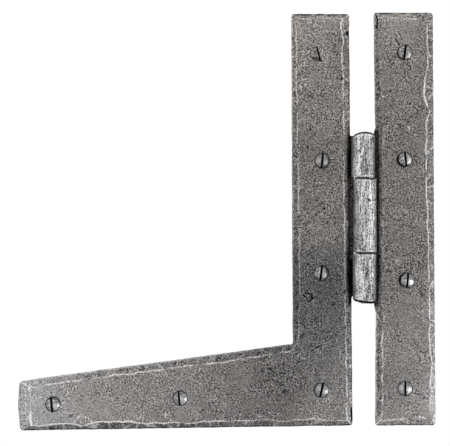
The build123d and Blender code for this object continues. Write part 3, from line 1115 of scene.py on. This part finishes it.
def forged_steel(name, gain, bare, polish=0.0):
    """Blackened steel: a mottled skin over bare metal that shows on edges, rubbed spots and painted highlights,
    darkened by grime and painted shade.
    """
    material = bpy.data.materials.new(name)
    n = Nodes(material)
    place, fibres, flecks = n.millimetres(), n.millimetres((1, 1, 0.07)), n.millimetres((1, 1, 0.6))
    wear, grime, tone, roll = (n.attribute(key) for key in ("wear", "grime", "tone", "roll"))
    tint = n.mix(n.attribute("warm"), grey(1.0, 0.015), grey(1.0, 0.085))

    blotches = n.noise(place, 8.0, 4.0, 0.6)
    mottle = n.noise(place, 2.6, 3.0, 0.6)
    speckle = n.noise(place, 0.95, 1.0, 0.5)
    dust = n.noise(place, 0.6, 0.0, 0.5)
    on_face = mottling(n, ((blotches, 0.9), (mottle, 0.7), (speckle, 4.4), (dust, 2.6)))
    strand = n.noise(fibres, 0.60, 1.0, 0.5)
    fleck = n.noise(flecks, 0.58, 1.0, 0.5)
    dashes = n.span(n.plus(fleck, n.times(n.minus(strand, 0.5), 0.5)), 0.33, 0.43, 0.26, 1.0)
    on_barrel = mottling(n, ((mottle, 0.6), (strand, 5.6), (fleck, 6.2), (speckle, 1.2)))
    grain = n.plus(n.times(on_face, n.minus(1.0, roll)), n.times(on_barrel, roll))
    by_tone = n.span(tone, 0.36, 0.62, 1.18, 0.48)
    strength = n.times(by_tone, n.span(n.noise(place, 9.5, 1.0), 0.36, 0.64, 0.65, 1.4))
    grain = n.times(n.minus(grain, 1.0), strength)
    grain = n.math("MINIMUM", n.math("MAXIMUM", n.plus(grain, 1.0), 0.25), 2.3)
    level = n.times(n.math("POWER", tone, 2.2), n.times(grain, gain))

    level = n.times(level, n.minus(1.0, n.times(roll, n.minus(1.0, dashes))))

    pits = n.times(n.span(n.spots(place, 2.1), 0.24, 0.10), n.span(mottle, 0.46, 0.56))
    level = n.times(level, n.span(pits, 0, 1, 1.0, 0.35))
    # Worn places and the screws' painted highlights turn to bright bare metal.
    rubbed_and_lit = n.times(wear, n.span(speckle, 0.35, 0.6, 0.65, 1.1))
    shine = n.times(n.span(speckle, 0.3, 0.7, 0.82, 1.15), bare)
    level = n.plus(n.times(level, n.span(rubbed_and_lit, 0.1, 0.9, 1.0, 0.1)),
                   n.times(shine, n.span(rubbed_and_lit, 0.1, 0.9, 0.0, 1.0)))
    # Grime and painted shade darken the colour.
    dirt_and_shade = n.times(grime, n.span(speckle, 0.3, 0.7, 1.1, 0.9))
    level = n.times(level, n.span(dirt_and_shade, 0.05, 0.9, 1.0, 0.02))
    tint = n.mix(n.times(roll, n.span(mottle, 0.44, 0.54)), tint, COOL)
    colour = n.mix(level, grey(0.0), tint)

    rough = n.plus(n.span(mottle, 0.3, 0.7, 0.56, 0.44), n.span(grime, 0, 1, 0.0, 0.3))
    rough = n.minus(rough, n.plus(n.times(wear, 0.08), polish))
    relief = n.plus(n.times(mottle, 0.8), n.times(speckle, 0.6))
    relief = n.minus(relief, n.times(pits, 0.3))
    normal = n.bump(relief, 0.7, 0.30)
    shader = n.add("ShaderNodeBsdfPrincipled", Base_Color=colour, Roughness=rough, Normal=normal)
    shader.inputs["Metallic"].default_value = 1.0
    n.add("ShaderNodeOutputMaterial", Surface=shader.outputs[0])
    return material


def plain_floor(name):
    """A pale matt floor with a faint cloud in it."""
    material = bpy.data.materials.new(name)
    n = Nodes(material)
    cloud = n.noise(n.millimetres(), 60.0, 3.0)
    colour = n.mix(n.span(cloud, 0.3, 0.7), grey(0.72, 0.0), grey(0.76, 0.0))
    shader = n.add("ShaderNodeBsdfPrincipled", Base_Color=colour, Roughness=0.8)
    n.add("ShaderNodeOutputMaterial", Surface=shader.outputs[0])
    return material


# --- light, floor and camera ---
def area_light(name, place, target, size, power, colour):
    """A soft light, unseen itself, that shines from a place towards a target."""
    data = bpy.data.lights.new(name, "AREA")
    data.shape = "RECTANGLE"
    data.size, data.size_y = size
    data.energy = power
    data.color = colour
    light = placed(name, data)
    light.location = place
    light.rotation_euler = (Vector(target) - Vector(place)).to_track_quat("-Z", "Y").to_euler()
    light.visible_camera = False


def studio_world(level):
    """White to the camera, and a soft grey room to everything else."""
    world = bpy.data.worlds.new("studio")
    bpy.context.scene.world = world
    n = Nodes(world)
    room = n.add("ShaderNodeBackground", Color=(0.99, 0.99, 1.0, 1), Strength=level)
    white = n.add("ShaderNodeBackground", Color=(1, 1, 1, 1), Strength=1.0)
    mixed = n.add("ShaderNodeMixShader")
    sockets = (n.add("ShaderNodeLightPath").outputs["Is Camera Ray"], room.outputs[0], white.outputs[0])
    for output, socket in zip(sockets, mixed.inputs):
        n.join(output, socket)
    n.add("ShaderNodeOutputWorld", Surface=mixed.outputs[0])


def studio_floor(centre, depth):
    """A round pale floor, well below the hinge."""
    count, radius = 64, 0.45
    rim = [(centre[0] + radius * math.cos(a), centre[1] + radius * math.sin(a), depth)
           for a in np.arange(count) * 2 * math.pi / count]
    lower = [(x, y, z - 0.004) for x, y, z in rim]
    sides = [(i, i + count, (i + 1) % count + count, (i + 1) % count) for i in range(count)]
    mesh = bpy.data.meshes.new("floor")
    caps = [tuple(range(count)), tuple(range(2 * count - 1, count - 1, -1))]
    mesh.from_pydata(rim + lower, [], caps + sides)
    mesh.materials.append(plain_floor("pale_floor"))
    return placed("floor", mesh)


def front_camera(target, distance, width):
    """A long lens straight in front, taking in a width at the target."""
    data = bpy.data.cameras.new("camera")
    data.sensor_width = 36
    data.lens = data.sensor_width * distance / width
    camera = placed("camera", data)
    camera.location = (target[0], target[1] - distance, target[2])
    camera.rotation_euler = (math.pi / 2, 0, 0)
    bpy.context.scene.camera = camera


# --- assembly ---
steel = forged_steel("forged_steel", 1.36, 1.08)
screw_steel = forged_steel("screw_steel", 1.30, 0.85, 0.16)
pin_steel = forged_steel("pin_steel", 1.25, 0.70)

# How far each knuckle's skin is off the pin's centre, between two heights.
DOOR_SHIFTS = ((20.0, 60.0, -0.57), (-60.0, -20.0, 0.28))
FRAME_SHIFTS = ((-24.0, 26.0, 0.55),)
# The heights of the door knuckles' ends, and how far each is set back: (degrees round the barrel, distance).
# At the joints only the flat tabs are set back, clear of the middle knuckle's ring, which turns past them.
UPPER_JOINT_END, LOWER_JOINT_END = 24.7, -22.1
CLEAR_OF_RING = ((0, -TAB_SET_BACK), (14, -TAB_SET_BACK), (32, 0.0))
DOOR_ENDS = {
    UPPER_JOINT_END: CLEAR_OF_RING,
    LOWER_JOINT_END: CLEAR_OF_RING,
    float(pin_high[2]): ((0, 2.5), (90, 1.8), (120, 0.9), (150, 0.3), (172, 0), (195, 0.2), (215, 0.8),
                         (232, 1.5), (245, 2.2), (275, 3.4), (293, 3.6)),
    float(pin_low[2]): ((0, 4.6), (60, 3.4), (90, 2.2), (105, 1.7), (118, 0.15), (150, 0), (180, 0.5),
                        (225, 1.3), (275, 2.4), (293, 2.4)),
}
# Where the frame leaf's edge narrows beside the barrel's ends: (height, distance from the pin's plane).
FRAME_NARROWS = ((57.5, 6.7), (53.2, 6.1), (-53.4, 6.2), (-57.5, 7.1))

door = forged_leaf("door_leaf_forged", "door_leaf", DOOR_SIDE, DOOR_BEVELS, DOOR_SHIFTS, DOOR_ENDS, (), 21)
jamb = forged_leaf("frame_leaf_forged", "frame_leaf", FRAME_SIDE, FRAME_BEVELS, FRAME_SHIFTS, {},
                   FRAME_NARROWS, 22)
pin = peened_pin("hinge_pin_peened")
for piece, node, body, material, slot in (
    (door, "door_leaf", "door_leaf", steel, "forged_steel"),
    (jamb, "frame_leaf", "frame_leaf", steel, "forged_steel"),
    (pin, "hinge_pin", frame["nodes"]["hinge_pin"]["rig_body"], pin_steel, "pin_steel"),
):
    piece.data.materials.append(material)
    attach(piece, body)
    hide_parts(node)
for number, (node, looks) in enumerate(SCREWS.items()):
    piece = wood_screw(node + "_turned", node, looks, 40 + number)
    piece.data.materials.append(screw_steel)
    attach(piece, frame["nodes"][node]["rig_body"])
    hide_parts(node)

# The room's light, and the camera's place in metres. It is aimed a little off the hinge's middle.
ROOM_LIGHT = 0.75
AIM = (-0.0011, -0.0009)
CAMERA_DISTANCE = 2.5
VIEW_WIDTH = 0.2774
visual_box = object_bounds()
middle = (visual_box[0] + visual_box[1]) / 2
studio_floor(middle, -0.30)
studio_world(ROOM_LIGHT)
area_light("right_softbox", (1.20, -0.42, -0.60), middle, (0.9, 0.9), 7, (0.94, 0.97, 1.0))
area_light("left_softbox", (-1.2, -1.3, 0.1), middle, (1.4, 1.4), 2.0, (1.0, 0.99, 0.98))
front_camera((middle[0] + AIM[0], 0, middle[2] + AIM[1]), CAMERA_DISTANCE, VIEW_WIDTH)
bpy.context.scene.view_settings.view_transform = "Standard"
